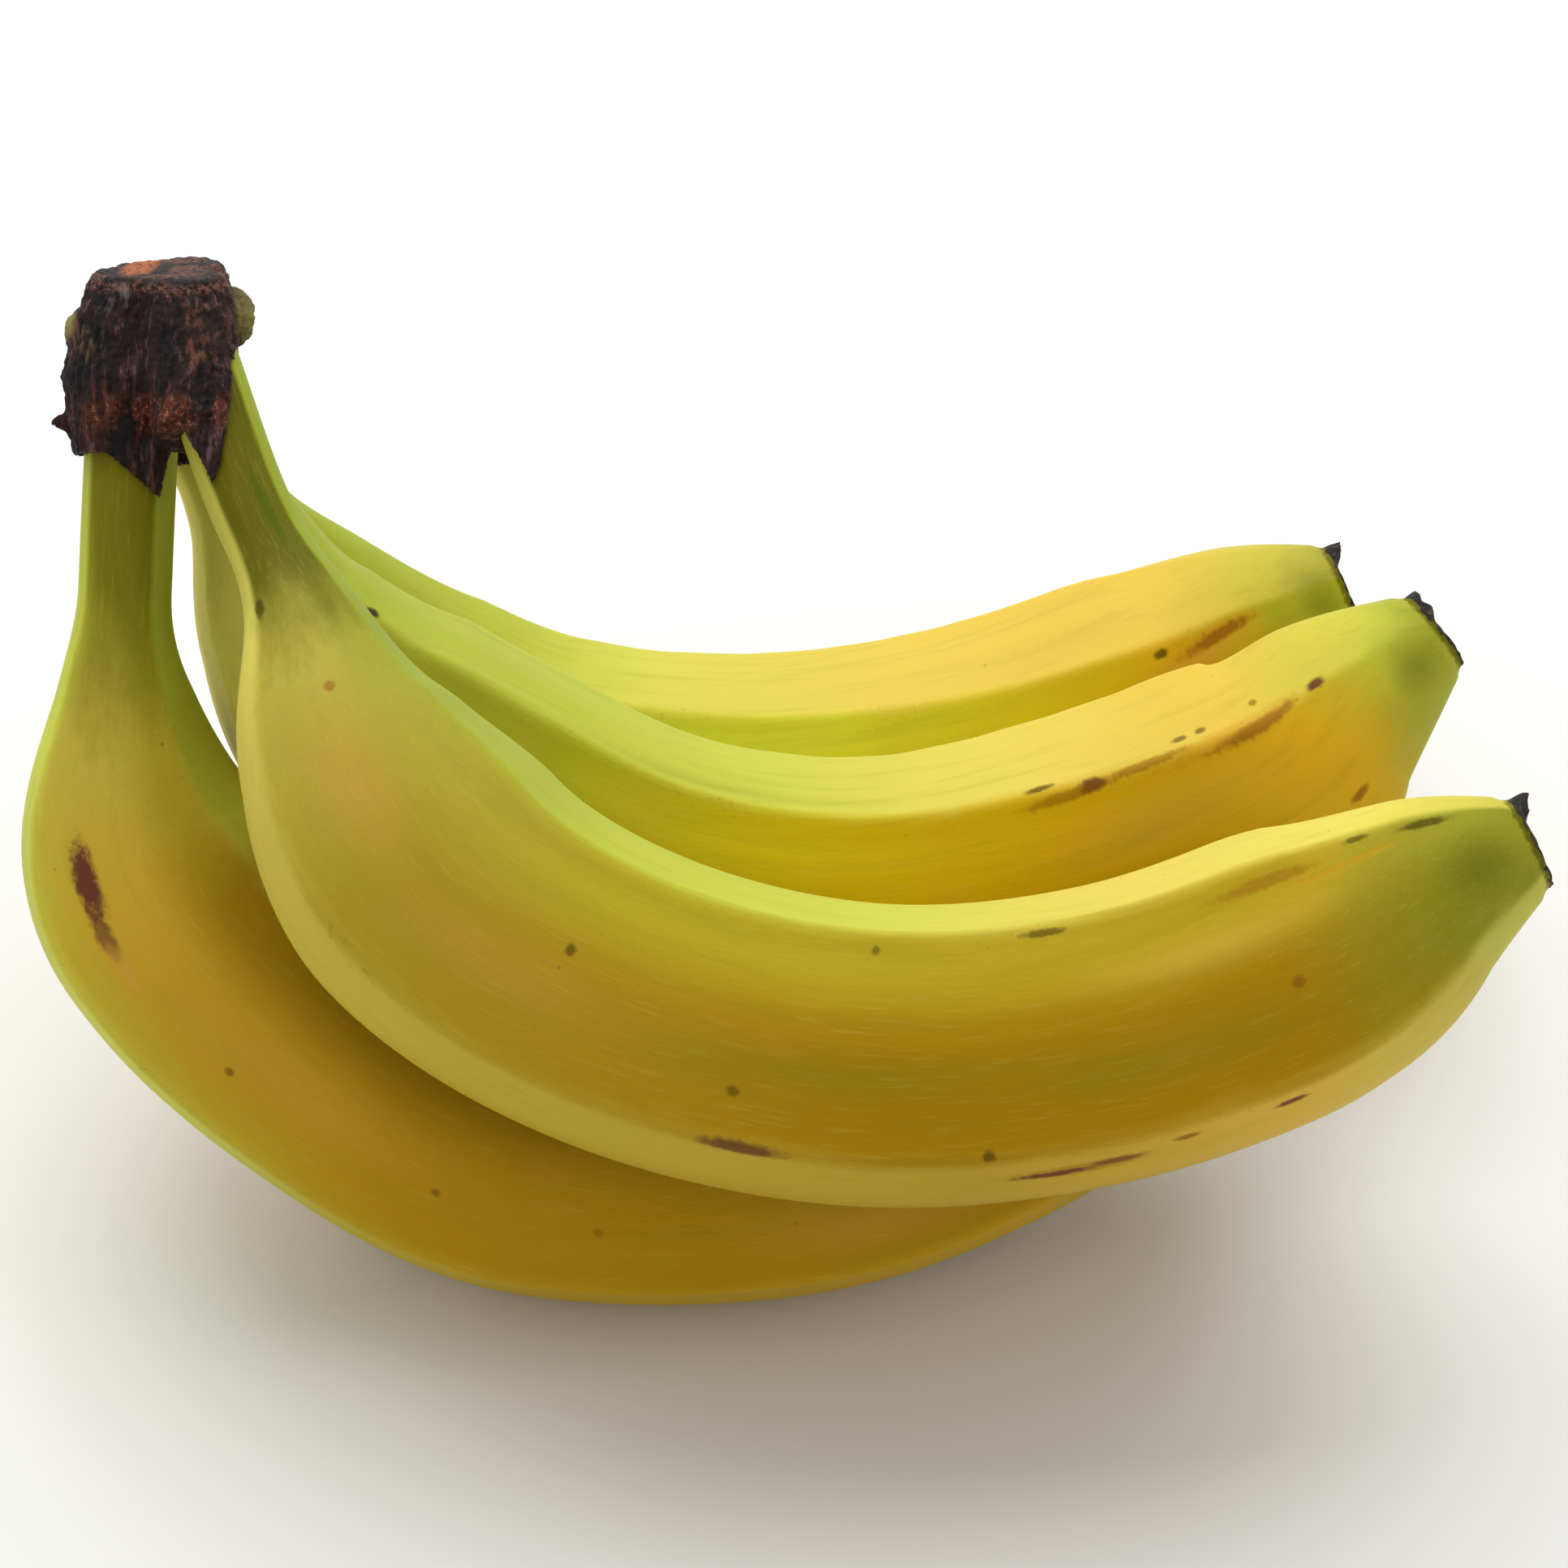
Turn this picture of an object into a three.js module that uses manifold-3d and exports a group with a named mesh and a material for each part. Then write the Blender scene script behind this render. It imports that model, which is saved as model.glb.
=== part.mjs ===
// A bunch of four bananas on one crown, lying as it rests on a table.
// Millimetres, +Z up. The origin is the middle of the footprint, on the table.
//
// The bunch is modelled in a frame of its own. X runs from the crown to the tips,
// Z points to the inside of the bend, and Y runs through the bunch from the front
// banana to the back one. The whole bunch is then leaned back and rocked until it
// lies on the bellies of its lowest and its rearmost banana.

import * as THREE from 'three';
import { ConvexGeometry } from 'three/addons/geometries/ConvexGeometry.js';
import { mergeVertices } from 'three/addons/utils/BufferGeometryUtils.js';
import Module from 'manifold-3d';

const wasm = await Module();
wasm.setup();

const { degToRad, radToDeg, lerp, smoothstep } = THREE.MathUtils;

// How the bunch lies, in degrees and millimetres.
const LEAN_BACK = 40.9;
const ROCK = 1.6;
const BELLY_FLAT_DEPTH = 0.9;

// Faces of one banana: sides around, and the length of one step along.
const SIDES_AROUND = 20;
const STEP_ALONG = 5;

// The peel has five ridges. Their angles go round from the middle of the outer,
// convex side, towards the front of the bunch. They wind a little, mostly near the tip.
const RIDGE_ANGLES = [36, 126, 180, 234, 324];
const FACE_FLATNESS = 0.55;

// The blunt tip ends in a low step, where the dried blossom sits.
const STUB_LENGTH = 1.4;
const STUB_SLIMMER = 0.94;
const STUB_SHOULDER = 0.4;

// The crown is what is left of the stalk, cut off at a slant and torn at the fringe.
const CUT_HEIGHT = 13.7;
const CUT_TILT = 13;
const LOBE_SIDES = 18;
const LOBE_STEPS = 6;
const TOOTH_THICKNESS = 4;
const TOUCHING_GAP = 0.35;
const POCKET_DEPTH = 24;
const POCKET_STEP = 6;

// Fineness of curves and spheres, and how close two corners are to be one.
const CURVE_DIVISIONS = 400;
const SPHERE_SIDES = 12;
const SPHERE_RINGS = 8;
const WELD = 1e-4;

// A block that is larger than the bunch, to cut with.
const BLOCK_SIZE = 400;

const GREEN_YELLOW = 0xc8bf3e;
const YELLOW = 0xdcc440;
const CROWN_BROWN = 0x3c2418;
const PEEL_ROUGHNESS = 0.5;
const CROWN_ROUGHNESS = 0.9;

// Each spine starts in the crown and ends at the tip. The girths are radii: of the
// neck, of the body behind the shoulder, of the body before the tip, and of the tip.
// neckEnd and shoulderEnd are measured along the spine, taper back from the tip. twist
// gives how far the ridges are turned, in degrees, at the neck and at the tip.
const BANANAS = [
  {
    name: 'banana_front',
    color: GREEN_YELLOW,
    spine: [
      [5, -11, 0], [11.5, -17, -17], [19, -24, -32], [25.3, -29, -49], [38.6, -32, -68.2],
      [60, -34, -81], [90, -36.4, -87.7], [120.5, -37.4, -84.9], [146.5, -39.3, -75.2],
      [160.5, -40, -66.4], [171, -40, -61.2],
    ],
    neck: 5.2, shoulder: 21.4, body: 18.4, tip: 6.2,
    neckEnd: 26, shoulderEnd: 77, taper: 37, twist: [17, 17],
  },
  {
    name: 'banana_low',
    color: GREEN_YELLOW,
    spine: [
      [-4, -7, -7], [-5, -6, -26], [-5.5, -5, -42], [-3.3, -3, -62], [5, -2, -76],
      [20.6, -1, -90], [42, -2, -101.8], [67, -3, -104.3], [90, -4, -101.2], [110, -4, -92.8],
      [127, -3, -83], [144, -2, -71],
    ],
    neck: 6.0, shoulder: 19.7, body: 18.8, tip: 6.4,
    neckEnd: 22, shoulderEnd: 66, taper: 44, twist: [6, 6],
  },
  {
    name: 'banana_middle',
    color: YELLOW,
    spine: [
      [2.5, 4, -8], [8.5, 6, -19], [14, 7, -32], [24.2, 9.4, -45.9], [42, 13.2, -57], [64, 17, -67],
      [92, 22, -70], [121, 26, -63.5], [146, 26, -52.7], [155.5, 26, -43.6], [168.3, 26, -33.2],
    ],
    neck: 5.0, shoulder: 20.0, body: 19, tip: 6.2,
    neckEnd: 0, shoulderEnd: 52, taper: 40, twist: [10, -20],
  },
  {
    name: 'banana_back',
    color: YELLOW,
    spine: [
      [2, 13, -3], [8, 22, -17], [17, 31, -27.1], [29, 43.2, -39.7], [46, 50, -50.8],
      [74, 55, -54], [103, 58, -50], [130, 59, -40.4], [147, 59, -30.6], [159.2, 58, -25],
    ],
    neck: 4.8, shoulder: 18.6, body: 17.8, tip: 5.4,
    neckEnd: 8, shoulderEnd: 82, taper: 40, twist: [4, -30],
  },
];

// The crown's lobes are the stumps of the four stalks, grown together. Each leans from
// its banana's neck to the cut face, with radii at its foot, waist, shoulder and top.
const LOBES = [
  { path: [[5.7, -15.6, -9.5], [4.5, -12.5, -2], [1.5, -6.5, 17]], radii: [6, 6.4, 6, 3.4] },
  { path: [[-5.2, -7.5, -11.8], [-5.2, -7.5, -2], [-2, -5, 17]], radii: [6.4, 7.8, 7, 3.6] },
  { path: [[1, 5, -12], [-1, 4, -2], [-1, 3, 19]], radii: [7.5, 9, 8, 5] },
  { path: [[4.5, 15, -10], [1, 12.5, -2], [0, 7.5, 20]], radii: [6.2, 7, 6.5, 3.8] },
];
const LOBE_WAIST = 0.35;
const LOBE_SHOULDER = 0.68;

// The crown dried round at the top, inside a dome.
const DOME = { middle: [0.3, -2, -4], radii: [14.3, 24, 21.6], sides: 28, rings: 20 };

// Two small stumps of fingers that never grew, as middle, radius and height to width.
const STUMPS = [
  { middle: [8.6, -7, 6.2], radius: 3.3, stretch: 1.3 },
  { middle: [-9.2, -9, 4.2], radius: 3.2, stretch: 1.1 },
];

// The torn fringe hangs over the necks in teeth, each an outline on the outside of a neck.
const TEETH = [
  [[1.5, -19.4, -4], [9.8, -18.6, -2], [10, -20.2, -8], [9.2, -21.5, -13], [8, -21.8, -16.5]],
  [[-10, -11, -9.5], [1.4, -13, -9.5], [-5, -14, -13], [0.1, -12, -17.5]],
  [[0, 19.5, -7], [8.5, 20, -7], [6.5, 27, -13.5]],
  [[-11, -9, -4.5], [-11, -9, -10], [-14.2, -8.5, -7.4]],
];

// The radius of a banana at a distance along its spine.
function girth(banana, along, length) {
  const neckToBody = smoothstep(along, banana.neckEnd, banana.shoulderEnd);
  const full = lerp(banana.shoulder, banana.body, along / length);
  const fromTip = length - along;
  const rounding = Math.sin(Math.min(fromTip / banana.taper, 1) * Math.PI / 2);
  return lerp(banana.neck, full, neckToBody) * lerp(banana.tip / full, 1, rounding);
}

// One on a ridge and less between two ridges, where the peel is flatter.
function ridged(angle) {
  const turn = ((angle % 360) + 360) % 360;
  const next = RIDGE_ANGLES.findIndex((ridge) => ridge > turn);
  const after = next < 0 ? RIDGE_ANGLES[0] + 360 : RIDGE_ANGLES[next];
  const before = next > 0 ? RIDGE_ANGLES[next - 1] : RIDGE_ANGLES.at(-1) - (next < 0 ? 0 : 360);
  const middle = (before + after) / 2;
  const halfWidth = degToRad((after - before) / 2);
  const chord = Math.cos(halfWidth) / Math.cos(degToRad(turn - middle));
  return lerp(1, chord, FACE_FLATNESS);
}

// Where the rings of a banana stand along its spine, with two more for the stub.
function stations(length) {
  const peelLength = length - STUB_LENGTH;
  const steps = Math.round(peelLength / STEP_ALONG);
  const rings = Array.from({ length: steps + 1 }, (_, index) => (index / steps) * peelLength);
  return [...rings, peelLength + STUB_SHOULDER, length];
}

function curveThrough(points) {
  const curve = new THREE.CatmullRomCurve3(
    points.map((point) => new THREE.Vector3(...point)), false, 'centripetal');
  curve.arcLengthDivisions = CURVE_DIVISIONS;
  return curve;
}

// A closed skin round a curve: a cylinder whose rings are moved onto the curve. A ring
// stands at each of the distances, radiusAt gives its radius for each angle, and twistAt
// gives the degrees that the whole ring is then turned by.
function loft(curve, distances, sides, radiusAt, twistAt = () => 0) {
  const length = curve.getLength();
  const lastRing = distances.length - 1;
  const geometry = new THREE.CylinderGeometry(1, 1, 1, sides, lastRing);
  const position = geometry.attributes.position;
  const vertex = new THREE.Vector3();

  for (let index = 0; index < position.count; index += 1) {
    vertex.fromBufferAttribute(position, index);
    const along = distances[Math.round((0.5 - vertex.y) * lastRing)];
    const point = curve.getPointAt(along / length);
    const tangent = curve.getTangentAt(along / length);
    const side = new THREE.Vector3(0, -1, 0);
    side.addScaledVector(tangent, -side.dot(tangent)).normalize();
    const outer = new THREE.Vector3().crossVectors(tangent, side);

    const isCapMiddle = Math.hypot(vertex.x, vertex.z) < 0.5;
    const angle = Math.atan2(vertex.x, vertex.z);
    const radius = isCapMiddle ? 0 : radiusAt(along, radToDeg(angle));
    const turn = angle + degToRad(twistAt(along));
    point.addScaledVector(outer, Math.cos(turn) * radius);
    point.addScaledVector(side, Math.sin(turn) * radius);
    position.setXYZ(index, point.x, point.y, point.z);
  }
  return geometry;
}

function bananaGeometry(banana) {
  const spine = curveThrough(banana.spine);
  const length = spine.getLength();
  const radiusAt = (along, angle) => {
    const stub = along > length - STUB_LENGTH + WELD ? STUB_SLIMMER : 1;
    const ridging = smoothstep(along, banana.neckEnd, banana.shoulderEnd)
      * smoothstep(length - along, 0, banana.taper);
    return girth(banana, along, length) * stub * lerp(1, ridged(angle), ridging);
  };
  const twistAt = (along) => lerp(...banana.twist, (along / length) ** 2);
  return loft(spine, stations(length), SIDES_AROUND, radiusAt, twistAt);
}

// The neck with a little air round it, which is cut out of the crown.
function pocketGeometry(banana) {
  const curve = curveThrough(banana.spine);
  const start = curve.getPointAt(0).addScaledVector(curve.getTangentAt(0), -TOUCHING_GAP);
  const pocket = curveThrough([start.toArray(), ...banana.spine]);
  const steps = POCKET_DEPTH / POCKET_STEP;
  const distances = Array.from({ length: steps + 1 }, (_, step) => step * POCKET_STEP);
  return loft(pocket, distances, SIDES_AROUND, (along) => (
    girth(banana, along, curve.getLength()) + TOUCHING_GAP));
}

// Joins and cuts work on closed solids, whose vertices are shared between faces.
function solidOf(geometry) {
  const bare = geometry.clone();
  bare.deleteAttribute('normal');
  bare.deleteAttribute('uv');
  const welded = mergeVertices(bare, WELD);
  return new wasm.Manifold(new wasm.Mesh({
    numProp: 3,
    vertProperties: new Float32Array(welded.attributes.position.array),
    triVerts: new Uint32Array(welded.index.array),
  }));
}

function geometryOf(solid) {
  const mesh = solid.getMesh();
  const geometry = new THREE.BufferGeometry();
  geometry.setAttribute('position', new THREE.BufferAttribute(mesh.vertProperties, 3));
  geometry.setIndex(new THREE.BufferAttribute(mesh.triVerts, 1));
  return geometry;
}

function lobeGeometry(lobe) {
  const curve = curveThrough(lobe.path);
  const length = curve.getLength();
  const distances = Array.from({ length: LOBE_STEPS + 1 }, (_, step) => (step / LOBE_STEPS) * length);
  const [foot, waist, shoulder, top] = lobe.radii;
  return loft(curve, distances, LOBE_SIDES, (along) => {
    const height = along / length;
    const lower = lerp(foot, waist, smoothstep(height, 0, LOBE_WAIST));
    const upper = lerp(lower, shoulder, smoothstep(height, LOBE_WAIST, LOBE_SHOULDER));
    const rounding = Math.max(height - LOBE_SHOULDER, 0) / (1 - LOBE_SHOULDER);
    return lerp(top, upper, Math.sqrt(1 - rounding ** 2));
  });
}

function stumpGeometry(stump) {
  return new THREE.SphereGeometry(stump.radius, SPHERE_SIDES, SPHERE_RINGS)
    .scale(1, 1, stump.stretch)
    .translate(...stump.middle);
}

function toothGeometry(outline) {
  const outer = outline.map((point) => new THREE.Vector3(...point));
  const towardsNeck = outline[0][1] < 0 ? 1 : -1;
  const inner = outer.map((point) => (
    point.clone().add(new THREE.Vector3(0, TOOTH_THICKNESS * towardsNeck, 0))));
  return new ConvexGeometry([...outer, ...inner]);
}

// A big block with its lower face at height zero, or with its upper face there.
function blockAbove() {
  return new THREE.BoxGeometry(BLOCK_SIZE, BLOCK_SIZE, BLOCK_SIZE).translate(0, 0, BLOCK_SIZE / 2);
}

function blockBelow() {
  return blockAbove().translate(0, 0, -BLOCK_SIZE);
}

// Everything above the cut face, which the crown is cut with.
function aboveTheCut() {
  return blockAbove().rotateX(degToRad(CUT_TILT)).translate(0, 0, CUT_HEIGHT);
}

// The space that the lobes may fill: a dome, and all that is below its middle.
function underTheDome() {
  const [x, y, z] = DOME.middle;
  const dome = new THREE.SphereGeometry(1, DOME.sides, DOME.rings)
    .rotateX(Math.PI / 2).scale(...DOME.radii).translate(x, y, z);
  return solidOf(dome).add(solidOf(blockBelow().translate(0, 0, z)));
}

function joined(geometries) {
  return geometries.map(solidOf).reduce((whole, piece) => whole.add(piece));
}

function crownGeometry() {
  const lobes = joined(LOBES.map(lobeGeometry)).intersect(underTheDome());
  const grown = lobes.add(joined([
    ...STUMPS.map(stumpGeometry), ...TEETH.map(toothGeometry)]));
  const cuts = [aboveTheCut(), ...BANANAS.map(pocketGeometry)].map(solidOf);
  const pieces = cuts.reduce((whole, cut) => whole.subtract(cut), grown).decompose();
  const largest = pieces.reduce((best, piece) => (piece.volume() > best.volume() ? piece : best));
  return geometryOf(largest);
}

function lowestAlong(direction, geometries) {
  const vertex = new THREE.Vector3();
  let lowest = Infinity;
  for (const { attributes: { position } } of geometries) {
    for (let index = 0; index < position.count; index += 1) {
      lowest = Math.min(lowest, vertex.fromBufferAttribute(position, index).dot(direction));
    }
  }
  return lowest;
}

// The belly is cut flat where it would be below the table.
function withFlatBelly(geometry, tableHeight, lying) {
  const below = blockBelow().translate(0, 0, tableHeight);
  below.applyQuaternion(new THREE.Quaternion().setFromEuler(lying).invert());
  return geometryOf(solidOf(geometry).subtract(solidOf(below)));
}

function namedMesh(name, geometry, color, roughness) {
  geometry.computeVertexNormals();
  const material = new THREE.MeshStandardMaterial({ color, roughness, metalness: 0 });
  const mesh = new THREE.Mesh(geometry, material);
  mesh.name = name;
  return mesh;
}

const lying = new THREE.Euler(degToRad(-LEAN_BACK), degToRad(ROCK), 0, 'YXZ');
const up = new THREE.Vector3(0, 0, 1)
  .applyQuaternion(new THREE.Quaternion().setFromEuler(lying).invert());

const peels = BANANAS.map(bananaGeometry);
const tableHeight = lowestAlong(up, peels) + BELLY_FLAT_DEPTH;

const bunch = new THREE.Group();
BANANAS.forEach((banana, index) => {
  const peel = withFlatBelly(peels[index], tableHeight, lying);
  bunch.add(namedMesh(banana.name, peel, banana.color, PEEL_ROUGHNESS));
});
bunch.add(namedMesh('crown', crownGeometry(), CROWN_BROWN, CROWN_ROUGHNESS));
bunch.rotation.copy(lying);

const footprint = new THREE.Box3().setFromObject(bunch, true);
const middle = footprint.getCenter(new THREE.Vector3());
bunch.position.set(-middle.x, -middle.y, -footprint.min.z);

const part = new THREE.Group();
part.add(bunch);

export default part;
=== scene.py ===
# %% [markdown]
# A bunch of four bananas on one crown.
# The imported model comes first, as a fixed frame. Its solids have the right form and size but
# a coarse skin, so each one is replaced below by a finer skin of the same form, in the same
# place. The frame is in metres. The bunch is written down in millimetres, as it hangs, measured
# from the crown's middle, and one function below brings it into the frame.

import math

import bpy
import numpy as np
from mathutils import Matrix, Vector, noise


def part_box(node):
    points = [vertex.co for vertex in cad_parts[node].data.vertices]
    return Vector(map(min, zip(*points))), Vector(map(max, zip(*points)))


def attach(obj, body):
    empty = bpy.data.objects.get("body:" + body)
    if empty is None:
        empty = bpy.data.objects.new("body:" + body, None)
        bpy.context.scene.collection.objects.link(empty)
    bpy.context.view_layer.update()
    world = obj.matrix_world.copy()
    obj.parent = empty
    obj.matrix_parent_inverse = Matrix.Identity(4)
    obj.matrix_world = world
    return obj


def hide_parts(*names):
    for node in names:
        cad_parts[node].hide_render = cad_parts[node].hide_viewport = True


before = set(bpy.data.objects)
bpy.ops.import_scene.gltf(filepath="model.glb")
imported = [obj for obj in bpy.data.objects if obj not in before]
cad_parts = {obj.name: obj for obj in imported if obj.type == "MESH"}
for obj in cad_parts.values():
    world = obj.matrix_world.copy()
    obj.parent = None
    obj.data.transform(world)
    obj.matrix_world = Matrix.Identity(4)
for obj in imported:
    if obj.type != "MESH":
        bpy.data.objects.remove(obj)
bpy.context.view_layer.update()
MM = 0.001
print("solids:", sorted(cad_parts))

# %% [markdown]
# A banana is a bent tube. It has a slim neck, a shoulder where the neck widens, a body with
# five soft ridges along it and a blunt tip that once carried the flower.
# It could be sculpted, or a curve could be given a bevel and a taper. Here a curve through a
# few points is the spine, and one short rule gives the radius at each place along and round
# it. The rule is easy to read, and marks on the peel can later be placed with the same two
# numbers: millimetres along from the neck, and degrees round from the outer, convex side.

# %% Sizes of the four bananas, in millimetres
# neck, shoulder, body and tip are radii. neck_end and shoulder_end are measured along the spine
# from its start, and taper from its end. twist is in degrees, at the neck and at the tip.
BANANAS = {
    "banana_front": dict(
        spine=[(5, -11, 0), (11.5, -17, -17), (19, -24, -32), (25.3, -29, -49),
               (38.6, -32, -68.2), (60, -34, -81), (90, -36.4, -87.7), (120.5, -37.4, -84.9),
               (146.5, -39.3, -75.2), (160.5, -40, -66.4), (171, -40, -61.2)],
        neck=5.2, shoulder=21.4, body=18.4, tip=6.2,
        neck_end=26, shoulder_end=77, taper=37, twist=(17, 17)),
    "banana_low": dict(
        spine=[(-4, -7, -7), (-5, -6, -26), (-5.5, -5, -42), (-3.3, -3, -62), (5, -2, -76),
               (20.6, -1, -90), (42, -2, -101.8), (67, -3, -104.3), (90, -4, -101.2),
               (110, -4, -92.8), (127, -3, -83), (144, -2, -71)],
        neck=6, shoulder=19.7, body=18.8, tip=6.4,
        neck_end=22, shoulder_end=66, taper=44, twist=(6, 6)),
    "banana_middle": dict(
        spine=[(2.5, 4, -8), (8.5, 6, -19), (14, 7, -32), (24.2, 9.4, -45.9),
               (42, 13.2, -57), (64, 17, -67), (92, 22, -70), (121, 26, -63.5),
               (146, 26, -52.7), (155.5, 26, -43.6), (168.3, 26, -33.2)],
        neck=5, shoulder=20, body=19, tip=6.2,
        neck_end=0, shoulder_end=52, taper=40, twist=(10, -20)),
    "banana_back": dict(
        spine=[(2, 13, -3), (8, 22, -17), (17, 31, -27.1), (29, 43.2, -39.7), (46, 50, -50.8),
               (74, 55, -54), (103, 58, -50), (130, 59, -40.4), (147, 59, -30.6),
               (159.2, 58, -25)],
        neck=4.8, shoulder=18.6, body=17.8, tip=5.4,
        neck_end=8, shoulder_end=82, taper=40, twist=(4, -30)),
}
RIDGE_ANGLES = [36, 126, 180, 234, 324]
FACE_FLATNESS = 0.55
STUB_LENGTH = 1.4
STUB_SLIMMER = 0.94
STUB_SHOULDER = 0.4
print(len(BANANAS), "bananas with", len(RIDGE_ANGLES), "ridges each")

# %% [markdown]
# The bunch lies on its back: it has leaned until it found its rest on two bellies. Only one
# turn and one shift lead from the hanging bunch to the lying one.

# %% How the bunch lies
LEAN_BACK = math.radians(40.9)
ROCK = math.radians(1.6)
LYING = Matrix.Rotation(ROCK, 3, "Y") @ Matrix.Rotation(-LEAN_BACK, 3, "X")
TURN = np.array(LYING)


# %% The spine and the girth
def lerp(start, end, share):
    return start + (end - start) * share


def smoothstep(value, low, high):
    share = np.clip((value - low) / (high - low), 0, 1)
    return share * share * (3 - 2 * share)


def smooth_curve(points, steps=80):
    """A centripetal Catmull-Rom curve through the points, and the distance along it."""
    knots = np.array([2 * points[0] - points[1], *points, 2 * points[-1] - points[-2]])
    share = np.linspace(0, 1, steps, endpoint=False)[:, None]
    stretches = []
    for before, start, end, after in zip(knots, knots[1:], knots[2:], knots[3:]):
        gap_before, gap, gap_after = (
            np.linalg.norm(far - near) ** 0.5
            for near, far in ((before, start), (start, end), (end, after)))
        leaving = gap * ((start - before) / gap_before - (end - before) / (gap_before + gap)
                         + (end - start) / gap)
        arriving = gap * ((end - start) / gap - (after - start) / (gap + gap_after)
                          + (after - end) / gap_after)
        stretches.append(start + leaving * share
                         + (3 * (end - start) - 2 * leaving - arriving) * share ** 2
                         + (2 * (start - end) + leaving + arriving) * share ** 3)
    curve = np.vstack([*stretches, knots[-2:-1]])
    distance = np.append(0, np.cumsum(np.linalg.norm(np.diff(curve, axis=0), axis=1)))
    return curve, distance


def unit(vectors):
    return vectors / np.linalg.norm(vectors, axis=-1, keepdims=True)


def ridged(angle):
    """1 on a ridge and less between two, where the peel is flatter."""
    ridges = np.array([RIDGE_ANGLES[-1] - 360, *RIDGE_ANGLES, RIDGE_ANGLES[0] + 360])
    turn = angle % 360
    next_one = np.searchsorted(ridges, turn, side="right")
    before, after = ridges[next_one - 1], ridges[next_one]
    chord = (np.cos(np.radians((after - before) / 2))
             / np.cos(np.radians(turn - (before + after) / 2)))
    return lerp(1, chord, FACE_FLATNESS)


def length_of(banana):
    return smooth_curve(np.array(banana["spine"], float))[1][-1]


def girth(banana, along, length):
    """The radius in millimetres before the ridges shape it."""
    full = lerp(banana["shoulder"], banana["body"], along / length)
    rounding = np.sin(np.clip((length - along) / banana["taper"], 0, 1) * math.pi / 2)
    neck_to_body = smoothstep(along, banana["neck_end"], banana["shoulder_end"])
    return (lerp(banana["neck"], full, neck_to_body)
            * lerp(banana["tip"] / full, 1, rounding))


def ridge_share(banana, along, length):
    """How strongly the ridges show: not at all on the neck or at the very tip."""
    return (smoothstep(along, banana["neck_end"], banana["shoulder_end"])
            * smoothstep(length - along, 0, banana["taper"]))


def twist_at(banana, along, length):
    """How far the ridges are turned there, in degrees. They wind mostly near the tip."""
    return lerp(*banana["twist"], (along / length) ** 2)


def frame_along(banana, along):
    """Spine point, direction, outer side and front side at each distance along."""
    curve, distance = smooth_curve(np.array(banana["spine"], float))
    slope = np.gradient(curve, distance, axis=0)
    centre, ahead = (
        np.stack([np.interp(along, distance, values[:, axis]) for axis in range(3)], -1)
        for values in (curve, slope))
    ahead = unit(ahead)
    front = np.array([0, -1.0, 0])
    side = unit(front - ahead * (ahead @ front)[..., None])
    return centre, ahead, np.cross(ahead, side), side


def rolled(turn, out, along):
    """Points of a straight tube from the turn round it, the way out and the place along."""
    return np.stack([np.cos(turn) * out, np.sin(turn) * out, along], -1)


def round_spine(banana, along, turn, out, beyond=0):
    """The same points round the bent spine. Beyond is how far they lie further on."""
    centre, ahead, outer, side = frame_along(banana, along)
    return (centre + ahead * np.asarray(beyond)[..., None]
            + outer * (np.cos(turn) * out)[..., None]
            + side * (np.sin(turn) * out)[..., None])


for name, banana in BANANAS.items():
    print(name, "is", round(length_of(banana)), "mm long on its spine")


# %% [markdown]
# The hanging bunch is turned in code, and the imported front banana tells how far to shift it:
# the same rings are worked out here, and their box has to meet the solid's box.

# %% Where the bunch lies
CAD_STEP = 5
CAD_SIDES = 20


def cad_rings(banana):
    """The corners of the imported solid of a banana, in the hanging bunch's millimetres."""
    length = length_of(banana)
    peel = length - STUB_LENGTH
    stations = np.append(np.linspace(0, peel, round(peel / CAD_STEP) + 1),
                         [peel + STUB_SHOULDER, length])
    stations, angle = np.meshgrid(stations, np.arange(CAD_SIDES) * 360 / CAD_SIDES)
    radius = (girth(banana, stations, length)
              * lerp(1, ridged(angle), ridge_share(banana, stations, length))
              * np.where(stations > peel, STUB_SLIMMER, 1))
    turn = np.radians(angle + twist_at(banana, stations, length))
    return round_spine(banana, stations, turn, radius).reshape(-1, 3)


def shift_to_solid(name):
    turned = cad_rings(BANANAS[name]) @ TURN.T * MM
    low, high = (np.array(corner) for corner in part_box(name))
    return (low + high - turned.min(0) - turned.max(0)) / 2


SHIFT = shift_to_solid("banana_front")
print("shift in mm:", np.round(SHIFT / MM, 2),
      "and from the middle banana:", np.round(shift_to_solid("banana_middle") / MM, 2))


def lay_down(points):
    """From the hanging bunch, in millimetres, to the lying one, in metres."""
    return points @ TURN.T * MM + SHIFT


# %% [markdown]
# The camera stands where the photograph was taken from: straight in front of the hanging
# bunch, which is obliquely above the lying one. A long lens keeps the far bananas large.

# %% Camera
# the middle and the distance in millimetres; the focal length and the width in picture points
PICTURE_MIDDLE = np.array([80, -35, -54])
CAMERA_DISTANCE = 600
FOCAL_LENGTH = 6000
PICTURE_WIDTH = 1932
SENSOR = 36

camera_data = bpy.data.cameras.new("camera")
camera_data.sensor_width = SENSOR
camera_data.lens = FOCAL_LENGTH / PICTURE_WIDTH * SENSOR
camera = bpy.data.objects.new("camera", camera_data)
bpy.context.scene.collection.objects.link(camera)
look_along_y = Matrix.Rotation(math.pi / 2, 3, "X")
camera.matrix_world = Matrix.Translation(
    Vector(lay_down(PICTURE_MIDDLE - np.array([0, CAMERA_DISTANCE, 0])))
) @ (LYING @ look_along_y).to_4x4()
bpy.context.scene.camera = camera
print("camera height in mm:", round(camera.matrix_world.translation.z / MM))

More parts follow.
